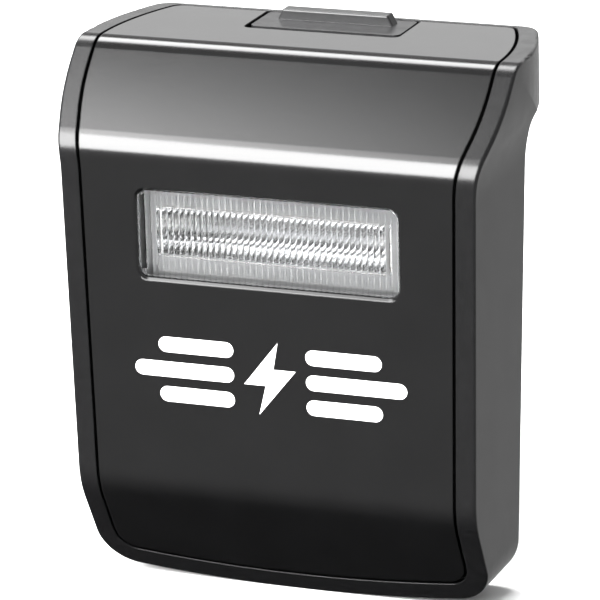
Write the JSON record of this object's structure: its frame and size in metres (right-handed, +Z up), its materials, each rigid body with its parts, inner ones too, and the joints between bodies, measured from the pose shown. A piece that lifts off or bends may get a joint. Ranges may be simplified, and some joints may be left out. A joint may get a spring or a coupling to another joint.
{
  "type": "detachable speedlight sub-flash module",
  "caption": "Flat clip-on flash module with a sloped top, a ribbed flash window, a sprung top release latch and sprung contacts on its slanted back.",
  "frame": {"origin": "bottom centre of the whole object's box, the latch's tongues included", "axes": "the flash window faces -Y, the contacts and tongues face +Y, +Z is up, +X is to the right seen from the front"},
  "size_m": [0.061, 0.0326, 0.0743],
  "materials": {
    "housing_plastic": "fine satin",
    "gloss_panel": "gloss",
    "clear_plastic": "clear, ribbed",
    "foam": "matt foam",
    "bright_sheet": "bright",
    "tube_glass": "clear",
    "electrode_metal": "satin",
    "silicone": "matt",
    "inner_plastic": "satin",
    "screw_steel": "zinc plated",
    "board_green": "solder mask",
    "capacitor_sleeve": "shrink sleeve",
    "coil_epoxy": "epoxy",
    "chip_black": "moulded",
    "connector_white": "satin",
    "lead_red": "silicone sleeve",
    "lead_white": "silicone sleeve",
    "gold_plate": "gold plated",
    "spring_steel": "bright",
    "latch_plastic": "fine satin",
    "pad_rubber": "matt"
  },
  "bodies": {
    "housing": {"rear_housing": "housing_plastic", "front_panel": "gloss_panel", "flash_lens": "clear_plastic", "lens_gasket": "foam", "reflector": "bright_sheet", "xenon_tube": "tube_glass", "tube_end_caps": "electrode_metal", "tube_sleeves": "silicone", "reflector_carrier": "inner_plastic", "carrier_screws": "screw_steel", "circuit_board": "board_green", "board_screws": "screw_steel", "storage_capacitor": "capacitor_sleeve", "capacitor_pad": "foam", "trigger_coil": "coil_epoxy", "switching_transistor": "chip_black", "wire_connector": "connector_white", "board_chips": "chip_black", "flash_leads": "lead_red", "trigger_lead": "lead_white", "contact_block": "inner_plastic", "pin_seats": "gold_plate", "pin_spring_1": "spring_steel", "pin_spring_2": "spring_steel", "pin_spring_3": "spring_steel", "pin_spring_4": "spring_steel", "latch_guide": "inner_plastic", "guide_screws": "screw_steel", "latch_spring_left": "spring_steel", "latch_spring_right": "spring_steel", "housing_screws": "screw_steel", "rear_pad": "pad_rubber"},
    "latch": {"latch_button": "latch_plastic", "latch_slider": "inner_plastic", "latch_screws": "screw_steel"},
    "pin_1": {"contact_pin_1": "gold_plate"},
    "pin_2": {"contact_pin_2": "gold_plate"},
    "pin_3": {"contact_pin_3": "gold_plate"},
    "pin_4": {"contact_pin_4": "gold_plate"}
  },
  "joints": [
    {"name": "latch_slide", "type": "slide", "parent": "housing", "child": "latch", "axis": [0, -1, 0], "range_m": [0, 0.0013], "stiffness_N_per_m": 300, "springref_m": -0.004, "deforming": ["latch_spring_left", "latch_spring_right"]},
    {"name": "pin_1_slide", "type": "slide", "parent": "housing", "child": "pin_1", "axis": [0, -1, 0], "range_m": [0, 0.0009], "stiffness_N_per_m": 250, "springref_m": -0.001, "deforming": ["pin_spring_1"]},
    {"name": "pin_2_slide", "type": "slide", "parent": "housing", "child": "pin_2", "axis": [0, -1, 0], "range_m": [0, 0.0009], "stiffness_N_per_m": 250, "springref_m": -0.001, "deforming": ["pin_spring_2"]},
    {"name": "pin_3_slide", "type": "slide", "parent": "housing", "child": "pin_3", "axis": [0, -1, 0], "range_m": [0, 0.0009], "stiffness_N_per_m": 250, "springref_m": -0.001, "deforming": ["pin_spring_3"]},
    {"name": "pin_4_slide", "type": "slide", "parent": "housing", "child": "pin_4", "axis": [0, -1, 0], "range_m": [0, 0.0009], "stiffness_N_per_m": 250, "springref_m": -0.001, "deforming": ["pin_spring_4"]}
  ]
}
